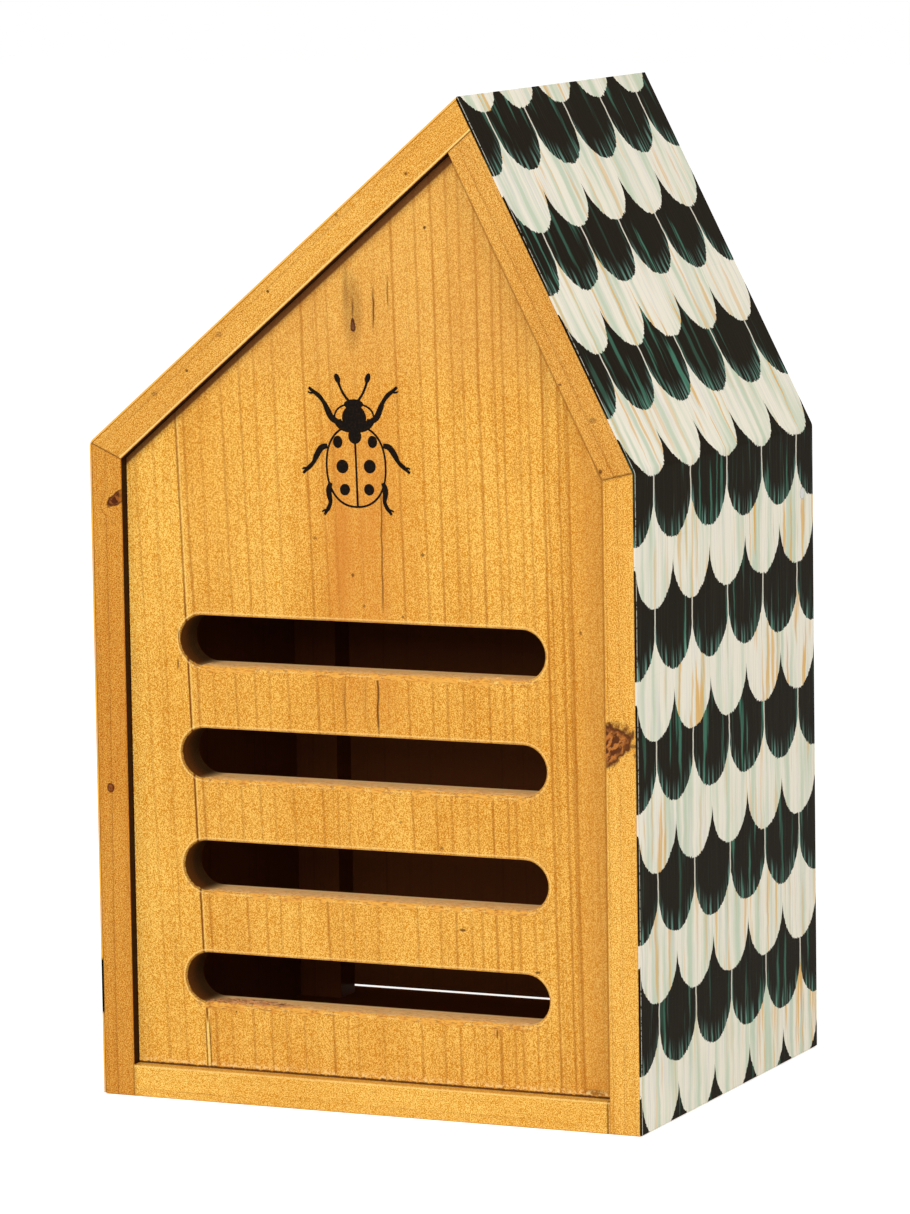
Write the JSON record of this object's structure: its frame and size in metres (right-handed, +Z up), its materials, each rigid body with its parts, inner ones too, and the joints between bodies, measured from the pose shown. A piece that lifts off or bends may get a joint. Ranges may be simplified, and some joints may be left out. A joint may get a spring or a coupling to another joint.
{
  "type": "ladybug house",
  "caption": "Wooden garden shelter for ladybirds: slotted front panel, lopsided gable roof, glossy printed sides, and a rear clean-out door that swings up on two nails.",
  "frame": {"origin": "on the ground, in the middle of the footprint", "axes": "+X to the right seen from the front, -Y out of the front panel, +Z up"},
  "size_m": [0.1752, 0.14, 0.3],
  "materials": {
    "honey_pine": "satin honey-stained pine",
    "inner_pine": "sawn, unvarnished",
    "printed_sheet": "glossy printed covering in near-black, ivory, sage and ochre",
    "nail_steel": "bright nail heads",
    "pin_steel": "plain wire",
    "brass": "satin brass, slightly dulled",
    "zinc_steel": "zinc plated"
  },
  "bodies": {
    "house": {"floor_board": "honey_pine", "left_wall": "honey_pine", "right_wall": "honey_pine", "left_roof_board": "honey_pine", "right_roof_board": "honey_pine", "front_narrow_stave": "honey_pine", "front_wide_stave": "honey_pine", "back_gable": "honey_pine", "left_stop_strip": "inner_pine", "right_stop_strip": "inner_pine", "left_print_sheet": "printed_sheet", "right_print_sheet": "printed_sheet", "pivot_nails": "nail_steel", "floor_pins": "pin_steel", "front_panel_pins": "pin_steel", "stop_strip_pins": "pin_steel", "gable_pins": "pin_steel", "eave_pins": "pin_steel", "ridge_pins": "pin_steel", "turn_button_screw": "brass", "keyhole_plate": "zinc_steel", "keyhole_screws": "zinc_steel"},
    "door": {"back_door": "honey_pine"},
    "button": {"turn_button": "brass"}
  },
  "joints": [
    {"name": "door_swing", "type": "hinge", "parent": "house", "child": "door", "pos_m": [0, 0.061, 0.173], "axis": [1, 0, 0], "range_deg": [0, 95]},
    {"name": "button_turn", "type": "hinge", "parent": "house", "child": "button", "pos_m": [0, 0.0673, 0.00475], "axis": [0, -1, 0], "range_deg": [0, 90]}
  ]
}
